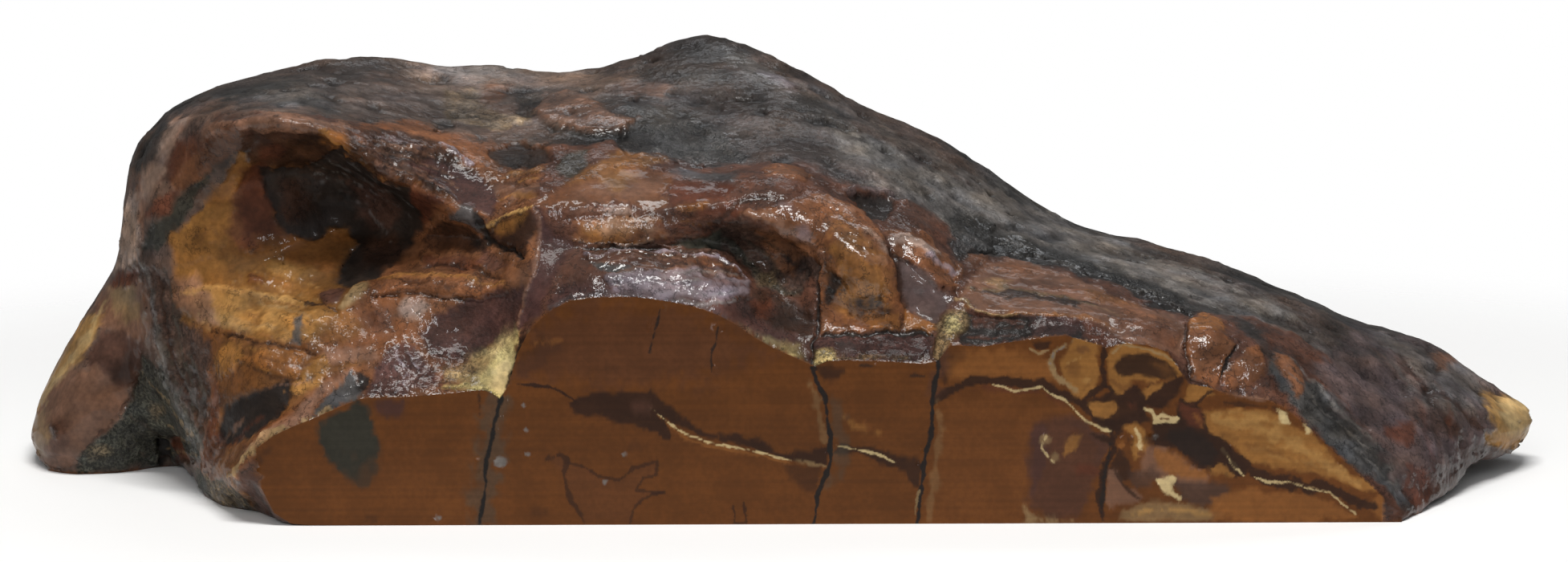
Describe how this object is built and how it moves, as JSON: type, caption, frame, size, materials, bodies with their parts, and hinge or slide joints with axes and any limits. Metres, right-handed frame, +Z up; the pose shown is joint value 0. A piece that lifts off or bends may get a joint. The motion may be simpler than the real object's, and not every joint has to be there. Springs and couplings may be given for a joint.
{
  "type": "fossil mammoth molar slice",
  "caption": "Rugged brown fossil chunk, sawn flat underneath and polished on the front face, with cracks and veins, a deep hollow and a dark natural rind sloping to a pointed end.",
  "frame": {"origin": "middle of the bounding box, on the flat sawn base", "axes": "+X to the right along the polished face, towards the low pointed end; +Y into the piece, away from the polished face; +Z up from the base"},
  "size_m": [0.1882, 0.0786, 0.0527],
  "materials": {
    "fossil_stone": "satin polished saw cut in caramel brown with dark cracks and cream veins; glossy lacquered broken surface in red-brown, gold and purple-black; satin dark grey-brown rind"
  },
  "bodies": {
    "root": {"fossil_slice": "fossil_stone"}
  },
  "joints": []
}
